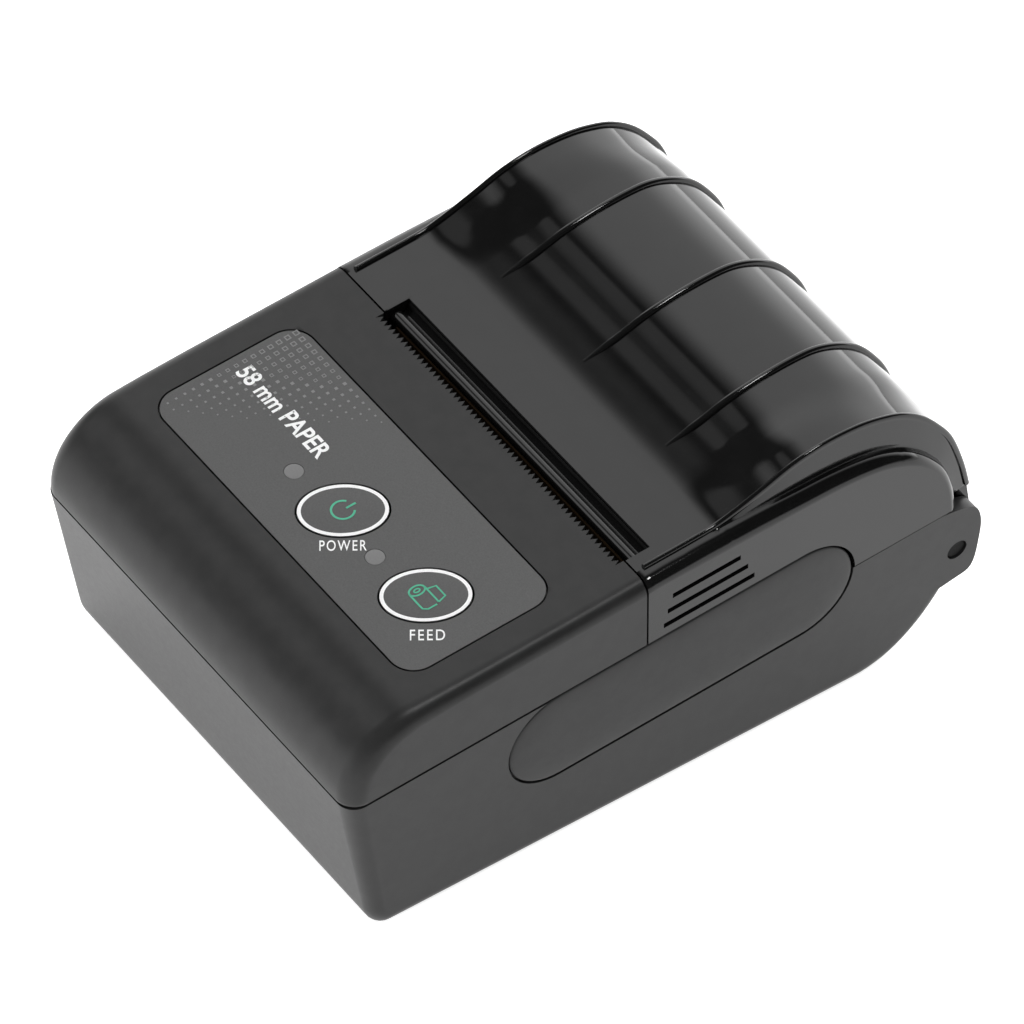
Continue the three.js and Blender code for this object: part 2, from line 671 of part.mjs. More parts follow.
addPart("lower_case", lowerCase(), caseBlack);
addPart("front_cover", frontCover(), caseBlack);
addPart("label_panel", labelPanel(), finish(0x3c3c3f, 0.55));
addPart("grip_left", grip(-1), caseBlack);
addPart("grip_right", grip(1), caseBlack);
Object.entries(KEYS).forEach(([name, k]) => {
  addPart(name + "_key", key(), finish(0x3c3c3f, 0.5), [k.x, k.y, TOP_Z]);
  addPart(name + "_switch", tactSwitch(), steel, [k.x, k.y, KEY_BOARD.top + 0.3]);
});
Object.entries(WINDOWS).forEach(([name, w]) => {
  const window = rodZ(WINDOW_RADIUS, KEY_BOARD.top + 1.8, TOP_Z, 0, 0);
  addPart(name + "_window", window, finish(0x6a6a6c, 0.3), [w.x, w.y, 0]);
  const led = box(-1.5, 1.5, -0.8, 0.8, 0.3, 1.3);
  addPart(name + "_led", led, finish(0xe8e8da, 0.3), [w.x, w.y, KEY_BOARD.top]);
});

addPart("paper_cover", paperCover(), coverGloss);
addPart("exit_lip", exitLip(), coverGloss);
addPart("platen_holder", platenHolder(), innerBlack);
[-1, 1].forEach((side) => {
  const name = side < 0 ? "hinge_pin_left" : "hinge_pin_right";
  const pin = side < 0 ? rodX(HINGE.pin, -38.4, -31) : rodX(HINGE.pin, 31, 38.4);
  addPart(name, pin, steel, [0, HINGE.y, HINGE.z]);
});

const bushRadius = 3;
const shaftBore = rodX(PLATEN.shaft + FIT, -45, 45);
const bush = (left, right) => rodX(bushRadius, left, right, 0, 0, 20).subtract(shaftBore);
addPart("platen_shaft", rodX(PLATEN.shaft, GEAR_LEFT, RIGHT_PLATE[1]), steel, [0, PLATEN.y, PLATEN.z]);
const rubber = rodX(PLATEN.radius, PLATEN.left, PLATEN.right, 0, 0, 32).subtract(shaftBore);
addPart("platen_rubber", rubber, finish(0x151515, 0.9), [0, PLATEN.y, PLATEN.z]);
addPart("platen_gear", gear(TEETH.platen, PLATEN_TOOTH, PLATEN.shaft + FIT), finish(0xd8d5cc, 0.5), [
  0, PLATEN.y, PLATEN.z,
]);
addPart("platen_bush_left", bush(LEFT_PLATE[0] - 0.2, LEFT_PLATE[1] + 0.2), finish(0xcfcbbf, 0.5), [
  0, PLATEN.y, PLATEN.z,
]);
addPart("platen_bush_right", bush(RIGHT_PLATE[0] - 0.1, RIGHT_PLATE[1]), finish(0xcfcbbf, 0.5), [
  0, PLATEN.y, PLATEN.z,
]);
const idler = gear(TEETH.idler, IDLER_TOOTH, 1.5 + FIT);
addPart("idler_gear", idler, finish(0xd8d5cc, 0.5), [0, IDLER.y, IDLER.z]);
addPart("idler_axle", rodX(1.5, -36.5, LEFT_PLATE[1]), steel, [0, IDLER.y, IDLER.z]);
addPart("motor_pinion", motorPinion(), finish(0xc9a95c, 0.35, 1), [0, PINION.y, PINION.z]);
addPart("stepper_motor", stepperMotor(), steel, [0, PINION.y, PINION.z]);

addPart("mech_frame", mechFrame(), innerBlack);
addPart("print_head", printHead(), finish(0x9a7b5a, 0.35));
addPart("head_heatsink", headHeatsink(), finish(0xc4c6c8, 0.4, 1));
addPart("head_spring_left", headSpring(), steel, [-14, 45.9, 0]);
addPart("head_spring_right", headSpring(), steel, [20, 45.9, 0]);
addPart("head_ribbon", headRibbon(), finish(0xb5782f, 0.4));
addPart("paper_sensor", box(1, 6, 57.6, 60.4, -5.7, -3.4), innerBlack);
addPart("paper_bucket", paperBucket(), innerBlack);

addPart("main_board", board(MAIN_BOARD), boardGreen);
addPart("processor", box(-6, 4, 22, 32, MAIN_BOARD.top + 0.3, -5.4), innerBlack);
addPart("radio_module", box(10, 26, 17, 30, MAIN_BOARD.top + 0.3, -4.6), steel);
addPart("head_connector", box(-4, 24, 36.4, 39.8, MAIN_BOARD.top + 0.3, -4.9), finish(0xe6e2d6, 0.5));
addPart("battery_connector", box(-24, -16, 17, 22, MAIN_BOARD.top + 0.3, -3), finish(0xe6e2d6, 0.5));
addPart("usb_socket", usbSocket(), steel);
addPart("key_board", board(KEY_BOARD, KEY_SCREWS), boardGreen);
addPart("battery_pack", batteryPack(), finish(0x2d5f9a, 0.45));
addPart("battery_door", batteryDoor(), caseBlack);

const caseScrew = () => screw(2.1, 1.5, 1, 9);
CASE_POSTS.forEach((p, i) => {
  addPart("case_screw_" + (i + 1), caseScrew(), steel, [p.x, p.y, p.seat - 1.8]);
});
REAR_POSTS.forEach((p, i) => {
  addPart("case_screw_" + (i + 3), screw(2.1, 1.5, 1, 5), steel, [p.x, p.y, p.seat - 1.8]);
});
MECH_POSTS.forEach((p, i) => {
  const piece = addPart("mech_screw_" + (i + 1), screw(2.1, 1.4, 1, 7.5), steel, [p.x, p.y, -19.8]);
  piece.rotation.x = Math.PI;
});
KEY_SCREWS.forEach((p, i) => {
  addPart("key_board_screw_" + (i + 1), screw(2, 1.2, 0.8, 6), steel, [p.x, p.y, KEY_BOARD.low - 1.5]);
});
const doorScrewSeat = floorZ(DOOR_SCREW.y) + 0.25;
addPart("door_screw", screw(2, 0.8, 0.8, 4), steel, [DOOR_SCREW.x, DOOR_SCREW.y, doorScrewSeat]);

// Stand the case on its floor, with the origin under the middle of the printer.
body.rotation.x = FLOOR_TILT;
const extent = new THREE.Box3().setFromObject(printer, true);
const middle = extent.getCenter(new THREE.Vector3());
body.position.set(-middle.x, -middle.y, -extent.min.z);

export default printer;
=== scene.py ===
import json
import math

import bpy
from mathutils import Matrix, Vector


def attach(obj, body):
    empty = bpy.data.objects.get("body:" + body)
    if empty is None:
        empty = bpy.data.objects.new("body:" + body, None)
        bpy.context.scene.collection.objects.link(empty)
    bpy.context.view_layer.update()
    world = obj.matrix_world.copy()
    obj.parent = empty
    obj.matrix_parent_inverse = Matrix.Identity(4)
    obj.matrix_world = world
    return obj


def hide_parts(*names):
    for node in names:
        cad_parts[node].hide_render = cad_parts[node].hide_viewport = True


# Looks of a 58 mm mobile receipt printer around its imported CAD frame.
# Shapes are drawn in the case's own axes in millimetres: x across, y back from the front edge,
# z up from the parting line. The case leans 4 degrees in the shared frame, and CASE_AXES moves
# each finished mesh there, in metres.

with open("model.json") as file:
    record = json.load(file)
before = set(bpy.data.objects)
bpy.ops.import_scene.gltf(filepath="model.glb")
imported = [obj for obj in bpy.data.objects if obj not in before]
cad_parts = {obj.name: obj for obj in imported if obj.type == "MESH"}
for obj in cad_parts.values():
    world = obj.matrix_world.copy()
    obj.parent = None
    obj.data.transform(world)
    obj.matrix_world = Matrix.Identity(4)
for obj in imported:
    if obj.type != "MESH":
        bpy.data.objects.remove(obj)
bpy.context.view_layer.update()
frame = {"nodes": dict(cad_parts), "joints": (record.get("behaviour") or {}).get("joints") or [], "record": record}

# ---------- driving dimensions ----------

TILT = math.radians(4)
HINGE_Y = 111.9
HINGE_Z = -19.6
HALF_WIDTH = 39.1
TOP_Z = 13.8
WALL = 2.0
LINING_ROUND = 1.2
SEAM_Y = 53.9
SEAM_GAP = 0.3
FLOOR_Z = -31.35
FRONT_LEAN = 0.145
SIDE_DRAFT = 0.016
ROLL_RADIUS = 13.0
BULGE_HALF_WIDTH = 36.1
WALL_FOOT_X = 36.6
SKIRT_Z = -9.1
PARTING_HALF_GAP = 0.24
BARREL_RADIUS = 4.5
PIN_BORE = 1.8
GRIP = {"front": 38.0, "back": 82.6, "z": -9.3, "radius": 9.1}
GROOVES = [(8.1, 58.3, 70.7), (5.2, 57.4, 72.1), (2.35, 56.7, 73.3)]
GROOVE_DEPTH = 0.8
GROOVE_HALF_HEIGHT = 0.5
EDGE_RADIUS = 0.12

# How far the cutting blocks reach, well past the part on each side.
PAST_SIDES = 45
PAST_ALL = 60
PAST_FRONT = -20
PAST_REAR = 140
ABOVE_TOP = 30
BELOW_FLOOR = -45

SLOT = {"left": -26.6, "right": 33.4, "back": 58.3}
TEETH = {"pitch": 1.03, "root": 52.1, "tip": 53.1}
PANEL = {"half": 32.6, "front": 15.3, "back": 42.1, "corner": 4.0, "thick": 0.7}
KEY = {"major": 6.8, "minor": 5.0, "turn": math.radians(57)}
KEYS = {"power": (1.2, 26.3), "feed": (21.5, 26.6)}
WINDOWS = {"power": (-9.2, 24.9), "status": (11.2, 24.9)}
WINDOW_RADIUS = 1.25
LEGEND_TURN = math.radians(54.2)
USB = {"front": 16.3, "back": 23.8, "low": -6.9, "top": -4.1}
DOOR = {"half": 30.0, "front": 9.0, "back": 43.0, "screw_y": 40.0}
CASE_POSTS = {"spots": [(-33.8, 10.0), (33.8, 10.0)], "top": -9.3, "radius": 3.3, "bore": 1.3}
REAR_POSTS = {"spots": [(-24.0, 102.6), (30.0, 102.6)], "top": -29.2, "radius": 3.3, "bore": 1.3}
MECH_POSTS = {"spots": [(-8.0, 47.0), (31.0, 47.0)], "top": -23.4, "radius": 3.0, "bore": 1.15}
SCREW_WELL_RADIUS = 2.5

# Stations along the paper cover, as (y, z) pairs: the middle of the roof, the roof's side edge,
# the foot of the wall under that edge and the foot of the side bevel.
COVER_STATIONS = [
    ((50, 13.8), (50, 13.8), (50, 13.78), (50, 11.6)),
    ((58, 13.8), (58, 13.8), (58, 13.78), (58, 11.55)),
    ((64, 13.8), (64, 13.8), (64, 13.78), (64, 11.4)),
    ((68, 13.88), (68, 13.93), (68, 13.7), (68, 11.3)),
    ((72.3, 14.5), (72.2, 14.8), (72.4, 13.6), (72.2, 11.15)),
    ((77.3, 15.42), (77, 16.2), (77.2, 13.4), (77, 11)),
    ((83, 16.95), (82.3, 17.9), (82.8, 13.1), (82.4, 10.9)),
    ((89, 17.7), (88, 18.6), (88.3, 12.8), (87.8, 10.7)),
    ((95, 17.75), (94.2, 18.1), (93.6, 12.1), (92.8, 10.2)),
    ((99.2, 17.1), (98.9, 16.75), (98.1, 10.9), (97.2, 9.2)),
    ((103.2, 15.1), (102.6, 14.9), (102, 8.9), (101.1, 7.4)),
    ((106.8, 12.1), (106.2, 11.8), (105.2, 6.3), (104.3, 5.1)),
    ((109.6, 8.2), (109.2, 7.9), (107.9, 3.1), (106.8, 2.2)),
    ((112, 3.6), (111.8, 3.4), (110, -0.4), (108.6, -1)),
    ((114.1, -3.2), (114, -3.4), (111.3, -4.6), (109.7, -4.9)),
    ((115.35, -9.1), (115.25, -9.1), (111.9, -9.1), (110.05, -9.1)),
]
TAIL = [(115.35, -9.1), (115.9, -13), (116.3, -17.5)]
RIBS = {"xs": [-21.4, -0.8, 19.6], "front": 71.0, "height": 0.65, "half": 0.6}
RIDGE = {"x": BULGE_HALF_WIDTH - 0.1, "height": 0.62, "half": 0.45}
BEAD_TIP = 0.35

hinge = next(j for j in frame["joints"] if j["name"] == "paper_cover_hinge")
CASE_AXES = (
    Matrix.Translation(Vector(hinge["pos_m"]))
    @ Matrix.Rotation(TILT, 4, "X")
    @ Matrix.Scale(0.001, 4)
    @ Matrix.Translation((0, -HINGE_Y, -HINGE_Z))
)

# ---------- mesh helpers ----------


def new_object(name, verts, faces):
    mesh = bpy.data.meshes.new(name)
    mesh.from_pydata(verts, [], faces)
    mesh.update()
    piece = bpy.data.objects.new(name, mesh)
    bpy.context.scene.collection.objects.link(piece)
    return piece


def bake(piece):
    """Replaces the piece's mesh by what its modifiers make of it."""
    bpy.context.view_layer.update()
    graph = bpy.context.evaluated_depsgraph_get()
    made = bpy.data.meshes.new_from_object(piece.evaluated_get(graph))
    piece.modifiers.clear()
    piece.data = made
    return piece


def discard(piece):
    bpy.data.objects.remove(piece)


def carve(piece, cutters, operation="DIFFERENCE"):
    for cutter in cutters:
        step = piece.modifiers.new("carve", "BOOLEAN")
        step.operation = operation
        step.solver = "EXACT"
        step.object = cutter
        bake(piece)
        discard(cutter)
    return piece


def join(piece, others):
    """Adds closed meshes that may overlap the piece's own."""
    verts = [v.co.copy() for v in piece.data.vertices]
    faces = [tuple(p.vertices) for p in piece.data.polygons]
    for other in others:
        start = len(verts)
        verts += [v.co.copy() for v in other.data.vertices]
        faces += [tuple(start + i for i in p.vertices) for p in other.data.polygons]
        discard(other)
    joined = new_object(piece.name, verts, faces)
    discard(piece)
    return joined


def soften(piece, width, angle=35):
    step = piece.modifiers.new("edge", "BEVEL")
    step.width = width
    step.segments = 2
    step.limit_method = "ANGLE"
    step.angle_limit = math.radians(angle)
    step.use_clamp_overlap = True
    return bake(piece)


def settle(piece, body, material, stands_for=(), smooth=32):
    """Moves a finished mesh into the shared frame and gives it its body and finish."""
    piece.data.transform(CASE_AXES)
    piece.data.shade_smooth()
    piece.data.set_sharp_from_angle(angle=math.radians(smooth))
    normals = piece.modifiers.new("normals", "WEIGHTED_NORMAL")
    normals.keep_sharp = True
    piece.data.materials.clear()
    piece.data.materials.append(material)
    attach(piece, body)
    if stands_for:
        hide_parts(*stands_for)
    return piece


def prism(outline, low, high, view="plan"):
    """A counter-clockwise outline, (x, y) in plan or (y, z) in side view, drawn out."""
    count = len(outline)
    corners = [(a, b, h) for h in (low, high) for a, b in outline]
    if view == "side":
        corners = [(h, a, b) for a, b, h in corners]
    sides = [(i, (i + 1) % count, (i + 1) % count + count, i + count) for i in range(count)]
    ends = [tuple(reversed(range(count))), tuple(range(count, 2 * count))]
    return new_object("prism", corners, sides + ends)


def block(left, right, front, back, low, top):
    return prism([(left, front), (right, front), (right, back), (left, back)], low, top)


def ring_stack(rings, cap_low=True, cap_top=True):
    """A closed form through rings of points that all have the same count."""
    count = len(rings[0])
    verts = [p for ring in rings for p in ring]
    faces = []
    for level in range(len(rings) - 1):
        base = level * count
        for i in range(count):
            after = (i + 1) % count
            faces.append((base + i, base + after, base + count + after, base + count + i))
    if cap_low:
        faces.append(tuple(reversed(range(count))))
    if cap_top:
        faces.append(tuple(range(len(verts) - count, len(verts))))
    return new_object("rings", verts, faces)


def arc(centre, radius, start, end, steps):
    """Points on an arc in degrees, counter-clockwise when end is above start."""
    angles = [math.radians(start + (end - start) * i / steps) for i in range(steps + 1)]
    return [(centre[0] + radius * math.cos(t), centre[1] + radius * math.sin(t)) for t in angles]


def ellipse(centre, major, minor, turn, steps=72):
    points = []
    for i in range(steps):
        t = 2 * math.pi * i / steps
        u, v = major * math.cos(t), minor * math.sin(t)
        x = centre[0] + u * math.cos(turn) - v * math.sin(turn)
        y = centre[1] + u * math.sin(turn) + v * math.cos(turn)
        points.append((x, y))
    return points


def stadium(radius, steps=24):
    back = arc((GRIP["back"], GRIP["z"]), radius, -90, 90, steps)
    front = arc((GRIP["front"], GRIP["z"]), radius, 90, 270, steps)
    return back + front


def panel_outline(grow):
    right = PANEL["half"] + grow
    front = PANEL["front"] - grow
    back = PANEL["back"] + grow
    r = PANEL["corner"] + grow
    return (
        arc((right - r, front + r), r, -90, 0, 10)
        + arc((right - r, back - r), r, 0, 90, 10)
        + arc((r - right, back - r), r, 90, 180, 10)
        + arc((r - right, front + r), r, 180, 270, 10)
    )


def disc(centre, radius, steps=32):
    return ellipse(centre, radius, radius, 0, steps)


def rod_x(radius, left, right, y, z, steps=48):
    return prism(disc((y, z), radius, steps), left, right, "side")


def rod_z(radius, low, top, x, y, steps=32):
    return prism(disc((x, y), radius, steps), low, top)


def floor_z(y):
    return FLOOR_Z - math.tan(TILT) * y


def catmull(knots, steps):
    """A smooth run of points through the knots."""
    points = []
    last = len(knots) - 1
    for i in range(last):
        around = [knots[max(i - 1, 0)], knots[i], knots[i + 1], knots[min(i + 2, last)]]
        for k in range(steps):
            points.append(catmull_point(around, k / steps))
    return points + [tuple(map(float, knots[last]))]


def catmull_point(around, t):
    p0, p1, p2, p3 = around
    return tuple(
        0.5 * (2 * b + (c - a) * t + (2 * a - 5 * b + 4 * c - d) * t**2 + (3 * b - a - 3 * c + d) * t**3)
        for a, b, c, d in zip(p0, p1, p2, p3)
    )


def bezier(start, control, end, steps):
    points = []
    for i in range(steps + 1):
        t = i / steps
        weights = ((1 - t) ** 2, 2 * t * (1 - t), t * t)
        point = [sum(w * v for w, v in zip(weights, values)) for values in zip(start, control, end)]
        points.append(tuple(point))
    return points


def blend(a, b, t):
    return tuple(u + (v - u) * t for u, v in zip(a, b))


def smooth_step(t):
    t = min(max(t, 0), 1)
    return t * t * (3 - 2 * t)


def run_normals(run):
    """Unit normals to the left of a run's direction."""
    normals = []
    for i in range(len(run)):
        before, after = run[max(i - 1, 0)], run[min(i + 1, len(run) - 1)]
        du, dv = after[0] - before[0], after[1] - before[1]
        length = math.hypot(du, dv)
        normals.append((-dv / length, du / length))
    return normals


def offset_run(run, distance):
    """The run moved to the left of its direction."""
    return [(u + nu * distance, v + nv * distance) for (u, v), (nu, nv) in zip(run, run_normals(run))]


def skin(rows, closing):
    """Points and faces over rows of right-hand half sections, closed by a flat side on each hand.
    closing runs in side view from the last row's foot back to the first row's foot."""
    full = [[(-x, y, z) for x, y, z in reversed(row[1:])] + list(row) for row in rows]
    width = len(full[0])
    verts = [p for row in full for p in row]
    faces = []
    for i in range(len(full) - 1):
        for j in range(width - 1):
            a = i * width + j
            faces.append((a, a + 1, a + width + 1, a + width))
    foot = [i * width + width - 1 for i in range(len(full))]
    mirrored_foot = [i * width for i in range(len(full))]
    side_x = rows[0][-1][0]
    right = list(range(len(verts), len(verts) + len(closing)))
    verts += [(side_x, y, z) for y, z in closing]
    left = list(range(len(verts), len(verts) + len(closing)))
    verts += [(-side_x, y, z) for y, z in closing]
    faces.append(tuple(reversed(foot + right)))
    faces.append(tuple(mirrored_foot + left))
    return verts, faces


def shell_between(outer_rows, inner_rows, closing, flip=False):
    """A wall between two skins of the same pattern, with its rim closed."""
    verts, faces = skin(outer_rows, closing)
    inner_verts, _ = skin(inner_rows, closing)
    count = len(verts)
    edges = {(a, b) for face in faces for a, b in zip(face, face[1:] + face[:1])}
    rim = [(b, a, a + count, b + count) for a, b in sorted(edges) if (b, a) not in edges]
    lining = [tuple(count + i for i in reversed(face)) for face in faces]
    whole = faces + lining + rim
    if flip:
        whole = [tuple(reversed(face)) for face in whole]
    shell = new_object("shell", verts + inner_verts, whole)
    split = shell.modifiers.new("split", "TRIANGULATE")
    split.min_vertices = 4
    return bake(shell)


def filleted_rows(run, outward, half, round_x, round_in, steps=9):
    """Half sections of a flat-topped extrusion whose side edges are rounded.
    round_x and round_in give each station's rounding, across and into the profile."""
    rows = []
    for (y, z), (ny, nz) in zip(run, run_normals(run)):
        across, inward = round_x(y, z), round_in(y, z)
        row = [(x, y, z) for x in (0, 9, 18, 27, 32)]
        for k in range(steps + 1):
            t = math.pi / 2 * k / steps
            x = half - across + across * math.sin(t)
            d = outward * inward * (1 - math.cos(t))
            row.append((x, y - ny * d, z - nz * d))
        rows.append(row)
    return rows


def rounded_shell(run, outward, closing, round_x, round_in):
    """A wall of even thickness on an extruded profile with rounded side edges."""
    outer = filleted_rows(run, outward, HALF_WIDTH, round_x, round_in)
    inner_run = offset_run(run, -outward * WALL)
    inner = filleted_rows(
        inner_run, outward, HALF_WIDTH - WALL, lambda y, z: LINING_ROUND, lambda y, z: LINING_ROUND
    )
    return shell_between(outer, inner, closing, flip=outward < 0)


def parting_edge(gap):
    """Lower edge of the covers in side view, from the back to the front."""
    rear = GRIP["back"] + gap - GRIP["z"]
    bend = arc((GRIP["back"], GRIP["z"]), gap - GRIP["z"], 0, 90, 16)
    return [(rear, SKIRT_Z - SEAM_GAP / 2 + gap)] + bend


def above_parting(gap):
    low = SKIRT_Z - SEAM_GAP / 2 + gap
    outline = [(PAST_REAR, low), (PAST_REAR, PAST_ALL), (PAST_FRONT, PAST_ALL), (PAST_FRONT, gap)]
    edge = list(reversed(parting_edge(gap)))
    return prism(outline + edge, -PAST_ALL, PAST_ALL, "side")


# ---------- material helpers ----------


class Nodes:
    """A material's node tree, with object-space millimetre coordinates ready to use."""

    def __init__(self, name):
        self.material = bpy.data.materials.new(name)
        self.material.use_nodes = True
        self.tree = self.material.node_tree
        self.shader = self.tree.nodes["Principled BSDF"]
        place = self.add("ShaderNodeTexCoord")
        self.mm = self.add("ShaderNodeVectorMath", operation="SCALE")
        self.mm.inputs["Scale"].default_value = 1000
        self.link(place.outputs["Object"], self.mm.inputs[0])

    def add(self, kind, **settings):
        node = self.tree.nodes.new(kind)
        for key, value in settings.items():
            setattr(node, key, value)
        return node

    def link(self, source, target):
        self.tree.links.new(source, target)

    def noise(self, per_mm, detail=2.0, rough=0.5):
        node = self.add("ShaderNodeTexNoise")
        node.inputs["Scale"].default_value = per_mm
        node.inputs["Detail"].default_value = detail
        node.inputs["Roughness"].default_value = rough
        self.link(self.mm.outputs[0], node.inputs["Vector"])
        return node.outputs["Fac"]

    def ramp(self, source, low, high, at=(0.35, 0.65)):
        node = self.add("ShaderNodeValToRGB")
        first, second = node.color_ramp.elements
        first.position, second.position = at
        first.color = (*low, 1)
        second.color = (*high, 1)
        self.link(source, node.inputs["Fac"])
        return node.outputs["Color"]

    def colour(self, source):
        self.link(source, self.shader.inputs["Base Color"])

    def roughness(self, source, low, high):
        node = self.add("ShaderNodeMapRange")
        node.inputs["To Min"].default_value = low
        node.inputs["To Max"].default_value = high
        self.link(source, node.inputs["Value"])
        self.link(node.outputs["Result"], self.shader.inputs["Roughness"])

    def bump(self, source, strength, distance_mm):
        node = self.add("ShaderNodeBump")
        node.inputs["Strength"].default_value = strength
        node.inputs["Distance"].default_value = distance_mm / 1000
        self.link(source, node.inputs["Height"])
        self.link(node.outputs["Normal"], self.shader.inputs["Normal"])


def grey(value):
    return (value, value, value)


def moulded_plastic(name, tone, rough, grain_per_mm=5.0, grain_mm=0.012, specular=0.5):
    """Spark-textured moulding: fine bumps, a faint mottling in tone and in gloss."""
    nodes = Nodes(name)
    dark, light = [c * 0.92 for c in tone], [c * 1.08 for c in tone]
    nodes.colour(nodes.ramp(nodes.noise(0.35, 3), dark, light))
    nodes.roughness(nodes.noise(1.2, 4), rough - 0.04, rough + 0.04)
    nodes.bump(nodes.noise(grain_per_mm, 3, 0.6), 0.5, grain_mm)
    nodes.shader.inputs["Specular IOR Level"].default_value = specular
    return nodes.material


def polished_plastic(name, tone, rough, specular=0.5):
    """Glossy moulding with a barely uneven surface."""
    nodes = Nodes(name)
    nodes.colour(nodes.ramp(nodes.noise(0.2, 2), tone, [c * 1.3 for c in tone]))
    nodes.roughness(nodes.noise(0.6, 5), rough - 0.015, rough + 0.02)
    nodes.bump(nodes.noise(0.16, 2), 0.12, 0.05)
    nodes.shader.inputs["Specular IOR Level"].default_value = specular
    return nodes.material


def printed_film(name, tone, rough):
    """Fine-textured polyester film: light specks on a darker ground."""
    nodes = Nodes(name)
    dark, light = [c * 0.82 for c in tone], [c * 1.2 for c in tone]
    nodes.colour(nodes.ramp(nodes.noise(4.2, 3, 0.65), dark, light, (0.3, 0.7)))
    nodes.roughness(nodes.noise(3.0, 2), rough - 0.05, rough + 0.05)
    nodes.bump(nodes.noise(6.0, 2), 0.4, 0.008)
    return nodes.material


def ink(name, tone, rough=0.5):
    nodes = Nodes(name)
    nodes.colour(nodes.ramp(nodes.noise(2.5, 3), [c * 0.93 for c in tone], tone))
    nodes.shader.inputs["Roughness"].default_value = rough
    nodes.bump(nodes.noise(5.0, 2), 0.2, 0.005)
    return nodes.material


def metal(name, tone, rough, brushed=(1, 1, 1)):
    """Bare metal with fine drawn lines and small stains in its polish."""
    nodes = Nodes(name)
    stretch = nodes.add("ShaderNodeVectorMath", operation="MULTIPLY")
    stretch.inputs[1].default_value = brushed
    nodes.link(nodes.mm.outputs[0], stretch.inputs[0])
    nodes.mm = stretch
    nodes.colour(nodes.ramp(nodes.noise(1.5, 4), [c * 0.85 for c in tone], tone))
    nodes.roughness(nodes.noise(3.0, 4), rough - 0.08, rough + 0.08)
    nodes.shader.inputs["Metallic"].default_value = 1.0
    nodes.bump(nodes.noise(4.0, 3), 0.2, 0.01)
    return nodes.material


def circuit_board(name):
    """Green solder mask over copper tracks."""
    nodes = Nodes(name)
    tracks = nodes.add("ShaderNodeTexBrick")
    tracks.inputs["Scale"].default_value = 0.35
    tracks.inputs["Mortar Size"].default_value = 0.06
    tracks.inputs["Color1"].default_value = (0.006, 0.07, 0.03, 1)
    tracks.inputs["Color2"].default_value = (0.008, 0.085, 0.035, 1)
    tracks.inputs["Mortar"].default_value = (0.02, 0.14, 0.06, 1)
    nodes.link(nodes.mm.outputs[0], tracks.inputs["Vector"])
    nodes.colour(tracks.outputs["Color"])
    nodes.roughness(nodes.noise(1.0), 0.3, 0.42)
    nodes.bump(tracks.outputs["Fac"], 0.3, 0.03)
    return nodes.material


def floor_material():
    nodes = Nodes("studio_floor")
    nodes.colour(nodes.ramp(nodes.noise(0.004, 2), grey(0.88), grey(0.9)))
    nodes.shader.inputs["Roughness"].default_value = 0.9
    nodes.shader.inputs["Specular IOR Level"].default_value = 0.1
    nodes.shader.inputs["Emission Color"].default_value = (1, 1, 1, 1)
    nodes.shader.inputs["Emission Strength"].default_value = 0.86
    return nodes.material


CASE_PLASTIC = moulded_plastic("case_plastic", grey(0.021), 0.36, specular=0.19)
GRIP_PLASTIC = moulded_plastic("grip_plastic", grey(0.022), 0.45, grain_per_mm=6.0, specular=0.2)
COVER_GLOSS = polished_plastic("cover_gloss", grey(0.0045), 0.07, specular=0.33)
PANEL_FILM = printed_film("panel_film", grey(0.054), 0.5)
WINDOW_PLASTIC = ink("window_plastic", grey(0.15), 0.45)
WHITE_INK = ink("white_ink", grey(0.92))
GREY_INK = ink("grey_ink", grey(0.19))
GREEN_INK = ink("green_ink", (0.05, 0.42, 0.25))
# Near-black steel for the hinge pins: painted shade, darkening their ends as if they sat deep in the barrel.
PIN_STEEL_PAINTED_SHADE = metal("pin_steel_painted_shade", grey(0.006), 0.6)
FINISHES = {
    "case_plastic": CASE_PLASTIC,
    "grip_plastic": GRIP_PLASTIC,
    "cover_gloss": COVER_GLOSS,
    "panel_film": PANEL_FILM,
    "window_plastic": WINDOW_PLASTIC,
    "inner_plastic": moulded_plastic("inner_plastic", grey(0.012), 0.48),
    "steel": metal("steel", grey(0.62), 0.32, (1, 0.1, 1)),
    "aluminium": metal("aluminium", grey(0.75), 0.38, (0.1, 1, 1)),
    "head_glaze": polished_plastic("head_glaze", (0.16, 0.1, 0.055), 0.12),
    "platen_rubber": moulded_plastic("platen_rubber", grey(0.018), 0.8, grain_per_mm=8.0, specular=0.25),
    "gear_plastic": moulded_plastic("gear_plastic", (0.75, 0.72, 0.64), 0.4, grain_mm=0.004),
    "brass": metal("brass", (0.75, 0.52, 0.22), 0.3),
    "circuit_board": circuit_board("circuit_board"),
    "connector_plastic": moulded_plastic("connector_plastic", (0.72, 0.69, 0.6), 0.42, grain_mm=0.004),
    "flex_film": polished_plastic("flex_film", (0.42, 0.17, 0.03), 0.3),
    "battery_wrap": polished_plastic("battery_wrap", (0.02, 0.09, 0.3), 0.28),
}

# ---------- case ----------


def front_run():
    roll = arc((ROLL_RADIUS, TOP_Z - ROLL_RADIUS), ROLL_RADIUS, 180, 90, 26)
    return [(0, -5), (0, -2)] + roll + [(y, TOP_Z) for y in (18, 26, 34, 42, 50, 60)]


def front_round(y, z):
    """The side edge's rounding is fuller at the front corners than along the top."""
    return 3.4 - 0.9 * smooth_step((y - 2) / 22)


def front_shell():
    shell = rounded_shell(front_run(), 1, [(60, -5)], front_round, front_round)
    cutters = [
        block(-PAST_ALL, PAST_ALL, PAST_FRONT, PAST_REAR, -PAST_ALL, PARTING_HALF_GAP),
        block(-PAST_ALL, PAST_ALL, SEAM_Y - SEAM_GAP, 120, -PAST_ALL, PAST_ALL),
        prism(panel_outline(SEAM_GAP), TOP_Z - PANEL["thick"] - SEAM_GAP, ABOVE_TOP),
        tear_notch(),
        *panel_holes(SEAM_GAP + 0.05),
    ]
    return soften(carve(shell, cutters), EDGE_RADIUS)


